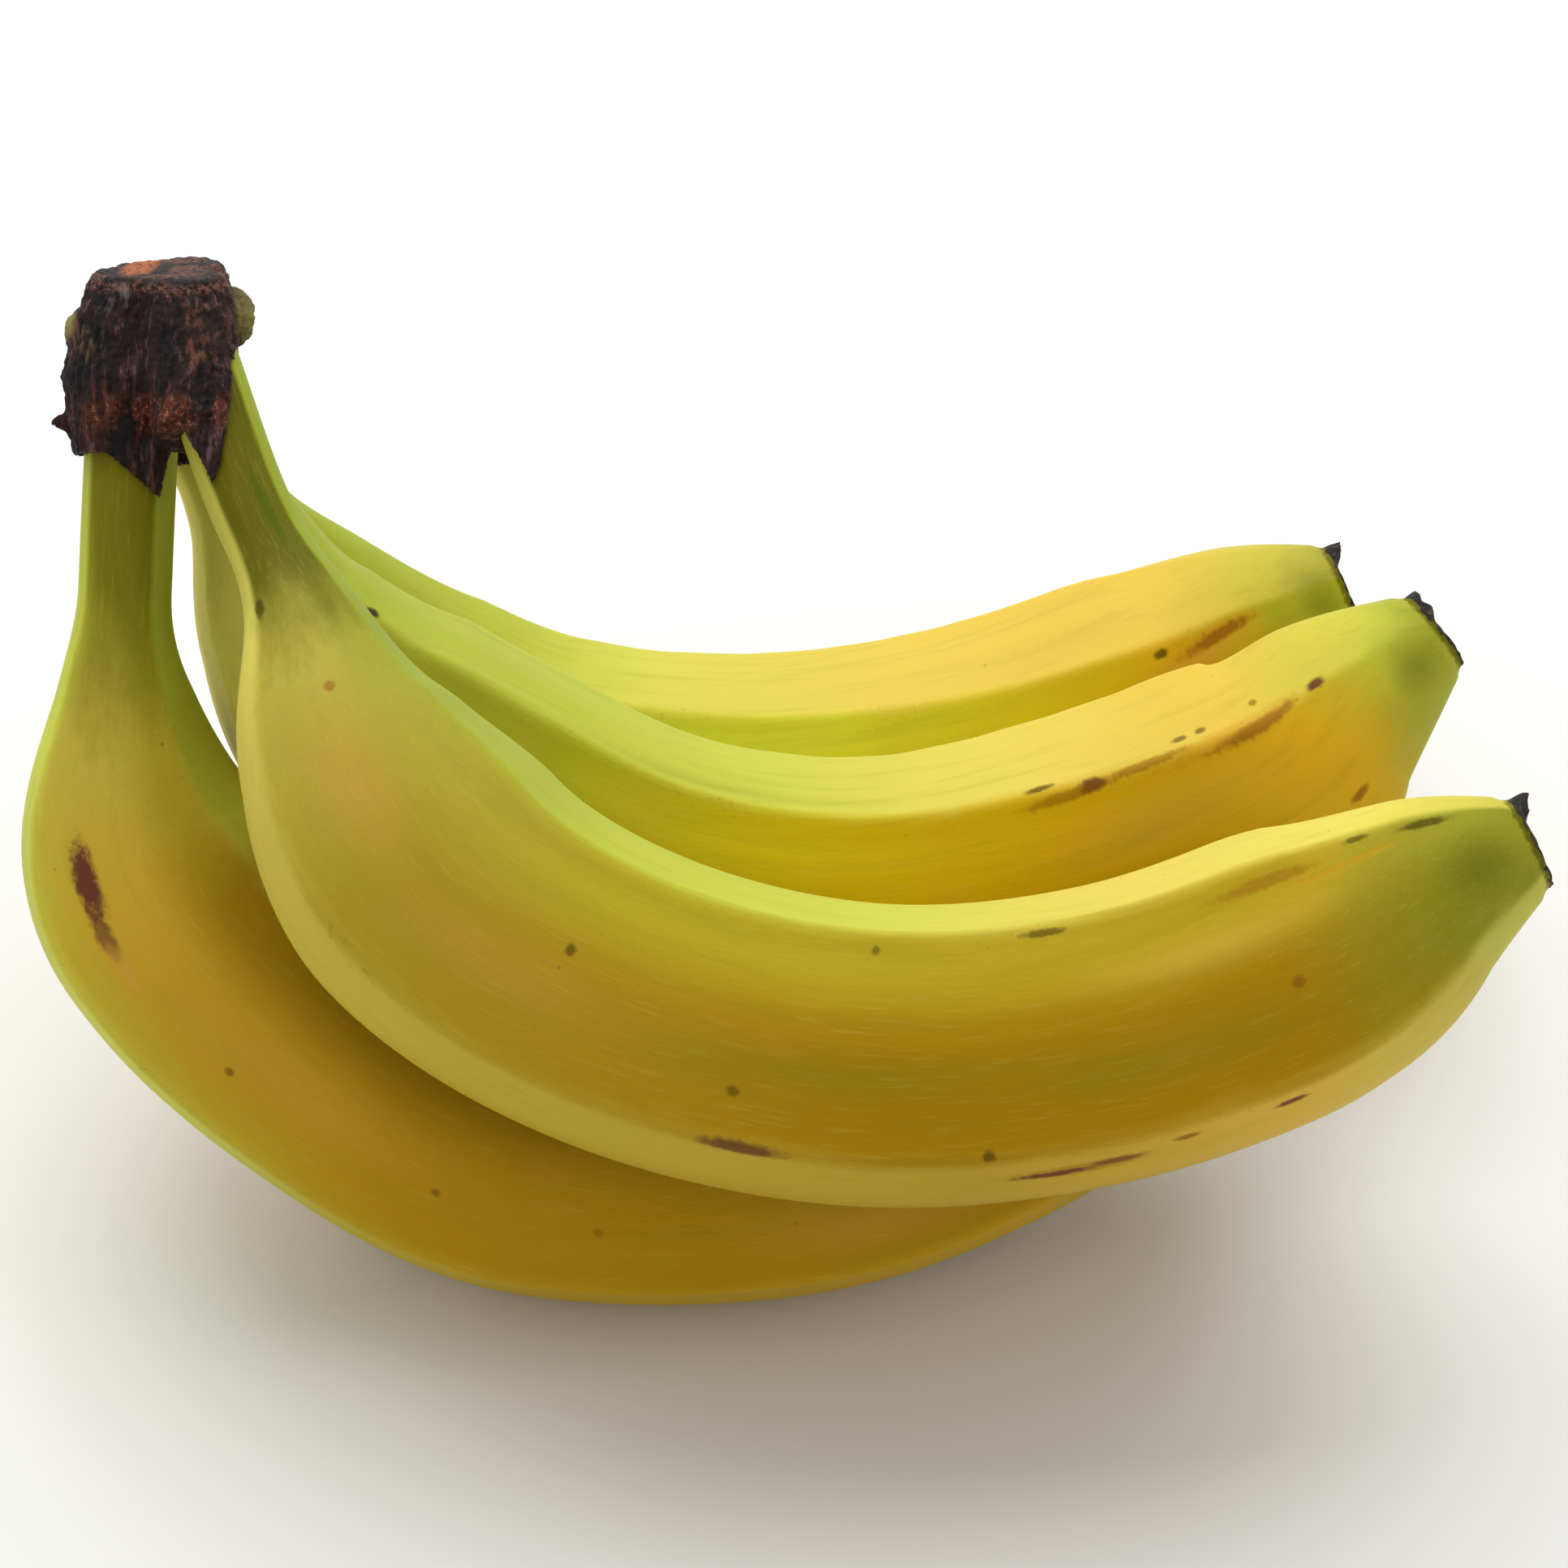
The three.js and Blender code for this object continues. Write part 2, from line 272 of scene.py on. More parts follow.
# %% [markdown]
# A material is a net of nodes, which is hard to read once it has more than ten. Two small
# helpers make it read like sums: a wire can be added, multiplied and smoothed, and a paint
# makes the nodes of one material.

# %% Socket maths for materials
class Wire:
    """An output socket that can be used in sums, so that shader maths reads like maths."""

    def __init__(self, paint, socket):
        self.paint = paint
        self.socket = socket

    def math(self, operation, *others, first=None):
        values = [self, *others] if first is None else [first, self]
        return self.paint.node("ShaderNodeMath", {"operation": operation},
                               dict(enumerate(values)))

    def __add__(self, other):
        return self.math("ADD", other)

    def __sub__(self, other):
        return self.math("SUBTRACT", other)

    def __rsub__(self, other):
        return self.math("SUBTRACT", first=other)

    def __mul__(self, other):
        return self.math("MULTIPLY", other)

    __radd__ = __add__

    def larger(self, other):
        return self.math("MAXIMUM", other)

    def smooth(self, low, high):
        """0 at low and 1 at high, with soft ends."""
        return self.paint.node("ShaderNodeMapRange", {"interpolation_type": "SMOOTHSTEP"},
                               {"Value": self, "From Min": low, "From Max": high})


class Paint:
    """One material and the nodes that paint it."""

    def __init__(self, name):
        self.material = bpy.data.materials.new(name)
        self.material.use_nodes = True
        self.tree = self.material.node_tree
        self.tree.nodes.clear()

    def node(self, kind, settings=None, sockets=None, output=0):
        made = self.tree.nodes.new(kind)
        for setting, value in (settings or {}).items():
            if setting == "stops":
                ramp = made.color_ramp
                while len(ramp.elements) < len(value):
                    ramp.elements.new(0.5)
                for element, (position, colour) in zip(ramp.elements, value):
                    element.position = position
                    element.color = colour
            else:
                setattr(made, setting, value)
        for key, value in (sockets or {}).items():
            if isinstance(value, Wire):
                self.tree.links.new(value.socket, made.inputs[key])
            else:
                made.inputs[key].default_value = value
        return Wire(self, made.outputs[output])

    def attribute(self, name, output="Vector"):
        return self.node("ShaderNodeAttribute", {"attribute_name": name}, output=output)

    def stretched(self, vector, by):
        return self.node("ShaderNodeVectorMath", {"operation": "MULTIPLY"},
                         {0: vector, 1: by})

    def noise(self, vector, scale, detail=3, roughness=0.5):
        return self.node("ShaderNodeTexNoise", {},
                         {"Vector": vector, "Scale": scale, "Detail": detail,
                          "Roughness": roughness})

    def bump(self, height, strength, distance):
        return self.node("ShaderNodeBump", {}, {"Height": height, "Strength": strength,
                                                "Distance": distance})

    def coordinate(self, vector, axis):
        return self.node("ShaderNodeSeparateXYZ", {}, {0: vector}, output=axis)

    def mix(self, under, over, share):
        return self.node("ShaderNodeMix", {"data_type": "RGBA"},
                         {0: share, 6: under, 7: over}, output=2)

    def oval(self, place, middle, turn, half_sizes, ragged, edge, wobble):
        """1 inside an oval round the middle and 0 outside, with a soft and ragged edge."""
        local = self.node("ShaderNodeMapping", {"vector_type": "TEXTURE"},
                          {"Vector": place, "Location": middle,
                           "Rotation": turn, "Scale": half_sizes})
        reach = self.node("ShaderNodeVectorMath", {"operation": "LENGTH"}, {0: local},
                          output="Value")
        return (reach + (wobble - 0.5) * ragged).smooth(1, 1 - edge)

    def finish(self, **sockets):
        shader = self.node("ShaderNodeBsdfPrincipled", {}, sockets)
        output = self.tree.nodes.new("ShaderNodeOutputMaterial")
        self.tree.links.new(shader.socket, output.inputs["Surface"])
        return self.material


def colour(red, green, blue):
    """A colour as a screen shows it, 0 to 255, made linear for the shader."""
    screen = [value / 255 for value in (red, green, blue)]
    linear = [value / 12.92 if value <= 0.04045 else ((value + 0.055) / 1.055) ** 2.4
              for value in screen]
    return (*linear, 1)


# %% [markdown]
# The floor is plain and pale. A big soft panel overhead lights the upper faces, and the floor
# sends some of it back up, which gives the pale strip along each banana's lower edge.

# %% Floor and light
# metres and watts
FLOOR_SIZE = 6
FLOOR_TONE = colour(244, 244, 242)
FLOOR_ROUGHNESS = 0.9
PANEL_SIZE = 2.0
PANEL_PLACE = (-0.15, 0.9, 1.7)
PANEL_POWER = 33
SKY_TONE = (1, 1, 1, 1)
SKY_STRENGTH = 0.55

bpy.ops.object.select_all(action="DESELECT")
bpy.ops.mesh.primitive_plane_add(size=FLOOR_SIZE)
floor = bpy.context.object
floor.name = "floor"
paint = Paint("pale_floor")
floor.data.materials.append(paint.finish(**{"Base Color": FLOOR_TONE,
                                            "Roughness": FLOOR_ROUGHNESS}))

panel_data = bpy.data.lights.new("soft_panel", "AREA")
panel_data.shape = "SQUARE"
panel_data.size = PANEL_SIZE
panel_data.energy = PANEL_POWER
panel = bpy.data.objects.new("soft_panel", panel_data)
panel.location = PANEL_PLACE
panel.rotation_euler = (-Vector(PANEL_PLACE)).to_track_quat("-Z", "Y").to_euler()
bpy.context.scene.collection.objects.link(panel)

world = bpy.data.worlds.new("room")
world.use_nodes = True
sky = world.node_tree.nodes["Background"]
sky.inputs["Strength"].default_value = SKY_STRENGTH
sky.inputs["Color"].default_value = SKY_TONE
bpy.context.scene.world = world
bpy.context.scene.view_settings.view_transform = "Standard"
print("light panel", round(Vector(PANEL_PLACE).length, 2), "m away")


# %% [markdown]
# The skin of a banana starts as a straight tube: a cylinder whose long edges are cut into
# many rings. It is made once. Each banana gets a copy, and every corner of the copy moves to
# the place that its height and its angle have on the bent, ridged banana.

# %% One straight tube
PEEL_SIDES = 160
PEEL_CUTS = [100, 1]
PEEL_END_RINGS = 4
LEVEL = 1e-4


def long_edges(mesh):
    """Edges that run along the tube, on its side."""
    return [edge for edge in mesh.edges
            if abs(mesh.vertices[edge.vertices[0]].co.z
                   - mesh.vertices[edge.vertices[1]].co.z) > LEVEL]


def end_faces(mesh):
    """The two flat ends, the only faces with more than four corners."""
    return [face for face in mesh.polygons if len(face.vertices) > 4]


def edit(piece, kind, chosen, tool, **settings):
    """Runs an edit-mode tool on the chosen edges or faces alone."""
    bpy.ops.object.mode_set(mode="EDIT")
    bpy.ops.mesh.select_mode(type=kind)
    bpy.ops.mesh.select_all(action="DESELECT")
    bpy.ops.object.mode_set(mode="OBJECT")
    for element in chosen(piece.data):
        element.select = True
    bpy.ops.object.mode_set(mode="EDIT")
    tool(**settings)
    bpy.ops.object.mode_set(mode="OBJECT")


def straight_tube(sides, cut_rounds, end_rings):
    """A tube of radius 1 from height 0 to height 1, in rings that go on over both ends."""
    bpy.ops.object.select_all(action="DESELECT")
    bpy.ops.mesh.primitive_cylinder_add(vertices=sides, radius=1, depth=1,
                                        end_fill_type="NGON", location=(0, 0, 0.5))
    bpy.ops.object.transform_apply(location=True, rotation=False, scale=False)
    tube = bpy.context.object
    for ring in range(end_rings):
        edit(tube, "FACE", end_faces, bpy.ops.mesh.inset, thickness=1 / (end_rings + 1), depth=0)
    for cuts in cut_rounds:
        edit(tube, "EDGE", long_edges, bpy.ops.mesh.subdivide, number_cuts=cuts)
    return tube


tube = straight_tube(PEEL_SIDES, PEEL_CUTS, PEEL_END_RINGS)
print("the tube has", len(tube.data.vertices), "corners and", len(tube.data.polygons), "faces")


# %% Corners in and out of a mesh
SEED_STEPS = (17.3, 5.1, 9.7)
MERGE_DISTANCE = 1e-6


def corners(mesh):
    flat = np.empty(len(mesh.vertices) * 3)
    mesh.vertices.foreach_get("co", flat)
    return flat.reshape(-1, 3)


def move_corners(mesh, points):
    mesh.vertices.foreach_set("co", np.ascontiguousarray(points, float).ravel())
    mesh.update()


def store(mesh, name, values, kind="FLOAT_VECTOR"):
    """Keeps a value for each corner, for a material to read by name."""
    attribute = mesh.attributes.new(name, kind, "POINT")
    key = "vector" if kind == "FLOAT_VECTOR" else "value"
    attribute.data.foreach_set(key, np.ascontiguousarray(values, np.float32).ravel())


def wobble(points, size, seed):
    """Smooth noise from -1 to 1 with features of about that size, for each point."""
    offset = Vector([seed * step for step in SEED_STEPS])
    return np.array([noise.noise(Vector(point) / size + offset) for point in points])


def pick(piece):
    """Selects this piece alone and makes it active."""
    bpy.ops.object.select_all(action="DESELECT")
    piece.select_set(True)
    bpy.context.view_layer.objects.active = piece


def rename(piece, name):
    piece.name = name
    piece.data.name = name


def own_copy(source, name):
    """A copy with its own mesh, linked and picked."""
    piece = source.copy()
    piece.data = source.data.copy()
    rename(piece, name)
    bpy.context.scene.collection.objects.link(piece)
    pick(piece)
    return piece


def on_tube(mesh):
    """Each corner's turn round the straight tube, its share of the way out and its height."""
    across, deep, height = corners(mesh).T
    return np.arctan2(deep, across), np.hypot(across, deep), height


def outward_and_smooth(piece):
    """Merges corners that meet, turns all faces outwards and shades them smooth."""
    pick(piece)
    bpy.ops.object.mode_set(mode="EDIT")
    bpy.ops.mesh.select_all(action="SELECT")
    bpy.ops.mesh.remove_doubles(threshold=MERGE_DISTANCE)
    bpy.ops.mesh.normals_make_consistent(inside=False)
    bpy.ops.object.mode_set(mode="OBJECT")
    bpy.ops.object.shade_smooth()


# %% [markdown]
# The fine skin repeats the solid's rule and adds what a coarse solid can't hold: a crest on
# each ridge, slight dents and swellings of a tenth of a millimetre or two, and furrows finer
# still. Where the peel would sink below the table it is pressed flat, because a ripe banana's
# belly gives way a little under its own weight.

# %% Bend a tube into each banana
# Depths, widths and sizes are in millimetres, and the crest's width in degrees. A lengthwise
# value squeezes the way along before the noise reads it, which draws out long shapes.
END_CROWDING = 0.6
RIDGE_CREST = 0.35
CREST_WIDTH = 7
DENT_DEPTH = 0.15
DENT_SIZE = 18
DENT_LENGTHWISE = 0.4
FURROW_DEPTH = 0.07
FURROW_WIDTH = 2.2
FURROW_LENGTHWISE = 0.06
USUAL_RADIUS = 18
STUB_EDGE = (-0.5, 0.7)
SEEDS_A_BANANA = 3


def crowded_to_ends(height):
    """Evenly spaced heights, moved so that rings lie closer together at both ends."""
    return height - END_CROWDING * np.sin(2 * math.pi * height) / (2 * math.pi)


def from_nearest_ridge(angle):
    off = (np.asarray(angle)[..., None] - np.array(RIDGE_ANGLES) + 180) % 360 - 180
    return np.abs(off).min(-1)


def bend(piece, banana, seed):
    """Moves each corner of a straight tube onto the banana, and keeps where it came from."""
    mesh = piece.data
    turn, inward, height = on_tube(mesh)
    length = length_of(banana)
    along = crowded_to_ends(height) * length
    angle = np.degrees(turn) - twist_at(banana, along, length)
    ridging = ridge_share(banana, along, length)
    radius = girth(banana, along, length) * lerp(1, ridged(angle), ridging)
    crest = np.exp(-(from_nearest_ridge(angle) / CREST_WIDTH) ** 2) * ridging
    radius += RIDGE_CREST * crest
    dents = wobble(rolled(turn, USUAL_RADIUS, along * DENT_LENGTHWISE), DENT_SIZE, seed)
    furrows = wobble(rolled(turn, USUAL_RADIUS, along * FURROW_LENGTHWISE), FURROW_WIDTH,
                     seed + 1)
    radius += DENT_DEPTH * dents * ridging
    radius += FURROW_DEPTH * furrows * ridging
    stub = smoothstep(along - length + STUB_LENGTH, *STUB_EDGE)
    radius *= lerp(1, STUB_SLIMMER, stub)
    out = radius * inward
    laid = lay_down(round_spine(banana, along, turn, out))
    laid[:, 2] = np.maximum(laid[:, 2], 0)
    move_corners(mesh, laid)
    store(mesh, "straight", rolled(turn, out, along))
    store(mesh, "ridge", crest, "FLOAT")
    store(mesh, "facing", rolled(np.radians(angle), 1, along / length))


peels = {}
for number, (name, banana) in enumerate(BANANAS.items()):
    peel = own_copy(tube, name + "_peel")
    bend(peel, banana, number * SEEDS_A_BANANA + 1)
    outward_and_smooth(peel)
    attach(peel, "root")
    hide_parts(name)
    peels[name] = peel
    print(peel.name, "has", len(peel.data.polygons), "faces")
bpy.data.objects.remove(tube)

# %% [markdown]
# At the tip the dried remains of the flower cling to the peel: a thin, dark, crumbly skin
# over the blunt end, with a thicker lump on the hollow side. It could be a displaced disc.
# A short tube with ringed ends is made once here, and each banana gets a copy with its own
# thickness and its own crumbly edge.

# %% Dried blossom ends
BLOSSOM_SIDES = 96
BLOSSOM_CUTS = [11]
BLOSSOM_END_RINGS = 9
BLOSSOM_RADIUS = 5
FIRST_BLOSSOM_SEED = 40
SEEDS_A_BLOSSOM = 5
# the skin over the end and the lump on it: a crumb is the size of an uneven spot, and a ring
# says where something starts and is full, from 0 in the middle of the end to 1 at its edge
BLOSSOM_SKIN = 0.2
SKIN_UNEVEN = 0.25
SKIN_CRUMB = 1.1
SKIN_RING = (0, 0.3)
LUMP_MIDDLE = 180
LUMP_SHARE = 0.85
LUMP_UNEVEN = 0.6
LUMP_CRUMB = 1.4
LUMP_RING = (0.35, 0.75)
SPREAD_EDGE = (0.6, 1.15)
# the rim round the tip: how far it comes down, how far it stands off, and how torn it is
LEAST_RIM = 0.15
RIM_LIFT = 0.12
RIM_RAGGED = 0.9
RIM_CRUMB = 1.1
RIM_UNEVEN = 0.22
RIM_GRAIN = 0.9
STUB_STEP = (0.5, 1.8)
# millimetres for the lump and the rim; degrees round for the rim's middle, and either way
# from the middle for how far the lump and the rim spread
BLOSSOMS = {
    "banana_front": dict(lump=2.0, lump_spread=42, rim=0.3, rim_middle=180, rim_spread=180),
    "banana_low": dict(lump=1.6, lump_spread=50, rim=0.3, rim_middle=180, rim_spread=180),
    "banana_middle": dict(lump=1.2, lump_spread=75, rim=0.7, rim_middle=180, rim_spread=110),
    "banana_back": dict(lump=1.5, lump_spread=45, rim=1.3, rim_middle=110, rim_spread=75)}


def spread_round(turn, middle, spread):
    """1 round the middle and 0 beyond the spread, in degrees, with soft ends."""
    off = np.abs((np.degrees(turn) - middle + 180) % 360 - 180)
    return 1 - smoothstep(off / spread, *SPREAD_EDGE)


def blossom_end(name, banana, dried, seed):
    piece = own_copy(blossom_tube, name)
    mesh = piece.data
    turn, inward, height = on_tube(mesh)
    length = length_of(banana)
    on_end = rolled(turn, inward * BLOSSOM_RADIUS, height)

    lump = dried["lump"] * spread_round(turn, LUMP_MIDDLE, dried["lump_spread"])
    lump *= LUMP_SHARE + LUMP_UNEVEN * wobble(on_end, LUMP_CRUMB, seed)
    uneven = SKIN_UNEVEN * wobble(on_end, SKIN_CRUMB, seed + 1)
    top = BLOSSOM_SKIN + lump * smoothstep(inward, *LUMP_RING)
    top += uneven * smoothstep(inward, *SKIN_RING)

    rim = LEAST_RIM + dried["rim"] * spread_round(turn, dried["rim_middle"], dried["rim_spread"])
    ragged = wobble(rolled(turn, BLOSSOM_RADIUS, height * 0), RIM_CRUMB, seed + 2)
    level = lerp(-rim * (1 + RIM_RAGGED * ragged), top, height)

    below_stub = smoothstep(-level, *STUB_STEP)
    radius = banana["tip"] * lerp(STUB_SLIMMER, 1, below_stub) * inward
    grain = wobble(rolled(turn, BLOSSOM_RADIUS, height), RIM_GRAIN, seed + 3)
    radius += (RIM_LIFT * (1 - height) + RIM_UNEVEN * grain) * np.minimum(inward, 1)

    at_tip = np.full(len(level), length)
    move_corners(mesh, lay_down(round_spine(banana, at_tip, turn, radius, beyond=level)))
    store(mesh, "straight", rolled(turn, radius, level + length))
    store(mesh, "thickness", top * height, "FLOAT")
    outward_and_smooth(piece)
    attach(piece, "root")
    return piece


blossom_tube = straight_tube(BLOSSOM_SIDES, BLOSSOM_CUTS, BLOSSOM_END_RINGS)
blossoms = {name: blossom_end(name + "_blossom_end", banana, BLOSSOMS[name],
                              FIRST_BLOSSOM_SEED + SEEDS_A_BLOSSOM * number)
            for number, (name, banana) in enumerate(BANANAS.items())}
bpy.data.objects.remove(blossom_tube)
print(len(blossoms), "blossom ends")

# %% [markdown]
# The crown is the piece of stalk that the four necks grew from. After the cut it dries to a
# brown, fibrous knob, and its skin tears into teeth over the necks.
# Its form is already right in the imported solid, so a copy is taken, rebuilt as an even net
# of small faces, and roughened: folds and fibres that run down to the necks, lumps between
# them, and grit all over. All of it stays within about a millimetre of the solid.

# %% A fine net over the crown
CROWN_VOXEL = 0.36
SMOOTH_ROUNDS = 3

crown = own_copy(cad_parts["crown"], "crown_fibres")
for key in [key for key in crown.keys() if key.startswith("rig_")]:
    del crown[key]
crown.parent = None
outward_and_smooth(crown)
remesh = crown.modifiers.new("even_net", "REMESH")
remesh.mode = "VOXEL"
remesh.voxel_size = CROWN_VOXEL * MM
bpy.ops.object.modifier_apply(modifier=remesh.name)
soften = crown.modifiers.new("soften", "SMOOTH")
soften.iterations = SMOOTH_ROUNDS
bpy.ops.object.modifier_apply(modifier=soften.name)

# Where the solid is thinner than the net, crumbs break off. Only the largest piece stays.
bpy.ops.object.mode_set(mode="EDIT")
bpy.ops.mesh.select_all(action="SELECT")
bpy.ops.mesh.separate(type="LOOSE")
bpy.ops.object.mode_set(mode="OBJECT")
*crumbs, crown = sorted(bpy.context.selected_objects, key=lambda piece: len(piece.data.vertices))
for crumb in crumbs:
    bpy.data.objects.remove(crumb)
rename(crown, "crown_fibres")
pick(crown)
print(len(crumbs), "crumbs removed")
print("the crown's net has", len(crown.data.polygons), "faces")

# %% Folds, fibres, lumps and grit
# Each kind has its depth and its size in millimetres, and is drawn out towards the necks.
# Folds and fibres show on the steep sides only, from the first steepness to the second.
STEEP = (0.1, 0.6)
FOLD_DEPTH = 0.8
FOLD_WIDTH = 4
FOLD_LENGTHWISE = (1, 1, 0.15)
FIBRE_DEPTH = 0.42
FIBRE_WIDTH = 0.9
FIBRE_LENGTHWISE = (1, 1, 0.12)
SHORT_LENGTHWISE = (1, 1, 0.2)
LUMP_DEPTH = 0.45
LUMP_SIZE = 5
LUMP_LENGTHWISE = (1, 1, 0.6)
LUMP_SHRINK = 0.25
GRIT_DEPTH = 0.24
GRIT_SIZE = 0.7
FIRST_CROWN_SEED = 70

hanging = (corners(crown.data) - SHIFT) / MM @ TURN
normals = np.empty(len(crown.data.vertices) * 3)
crown.data.vertex_normals.foreach_get("vector", normals)
normals = normals.reshape(-1, 3)
steepness = 1 - np.abs((normals @ TURN)[:, 2])
fold = wobble(hanging * FOLD_LENGTHWISE, FOLD_WIDTH, FIRST_CROWN_SEED)
fibre = wobble(hanging * FIBRE_LENGTHWISE, FIBRE_WIDTH, FIRST_CROWN_SEED + 1)
fibre += wobble(hanging * SHORT_LENGTHWISE, FIBRE_WIDTH / 2, FIRST_CROWN_SEED + 2) / 2
lump = wobble(hanging * LUMP_LENGTHWISE, LUMP_SIZE, FIRST_CROWN_SEED + 3)
grit = wobble(hanging, GRIT_SIZE, FIRST_CROWN_SEED + 4)
relief = (FIBRE_DEPTH * fibre + FOLD_DEPTH * fold) * smoothstep(steepness, *STEEP)
relief += LUMP_DEPTH * (lump - LUMP_SHRINK) + GRIT_DEPTH * grit
store(crown.data, "grain", hanging)
store(crown.data, "relief", relief, "FLOAT")
move_corners(crown.data, corners(crown.data) + normals * relief[:, None] * MM)
crown.data.materials.clear()
bpy.ops.object.shade_smooth()
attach(crown, "root")
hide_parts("crown")
print("relief from", round(relief.min(), 2), "to", round(relief.max(), 2), "mm")

# %% [markdown]
# Peel is a smooth, waxy skin, green at the neck and the tip and yellow between. Its colour
# changes slowly along the banana and from face to face, and fine fibres run lengthwise.
# Part of the change from face to face is painted light and shade. There is painted shade where
# one banana shades another and along the middle of each neck. There is painted light on the
# upper faces, on the edges of each neck and on the shaded shoulder of the middle banana.
# A painted picture would have to be wrapped round each banana. Here the colours are laid on
# by rule instead: each corner knows its place on the straight banana, so a patch, a scuff or
# a bruise is an oval at so many millimetres along and so many degrees round.

# %% Colours of the peel
LIME = colour(196, 202, 62)
YELLOW = colour(225, 204, 88)
GOLD = colour(224, 190, 74)
OLIVE = colour(140, 132, 20)
# the neck's pale green, which on the hollow side of the front, low and middle necks is also a
# painted highlight
NECK_GREEN_AND_HIGHLIGHT = colour(158, 170, 52)
TIP_GREEN = colour(116, 132, 26)
DEEP_GREEN = colour(84, 96, 8)
PALE_EDGE = colour(212, 196, 84)
BLUSH = colour(212, 158, 66)
SCUFF = colour(150, 92, 14)
ORANGE_LINE = colour(206, 146, 28)
BRUISE = colour(98, 46, 40)
SPECK = colour(74, 58, 8)
BLACK_BROWN = colour(30, 20, 16)
print("yellow is", [round(value, 3) for value in YELLOW[:3]], "to the shader")

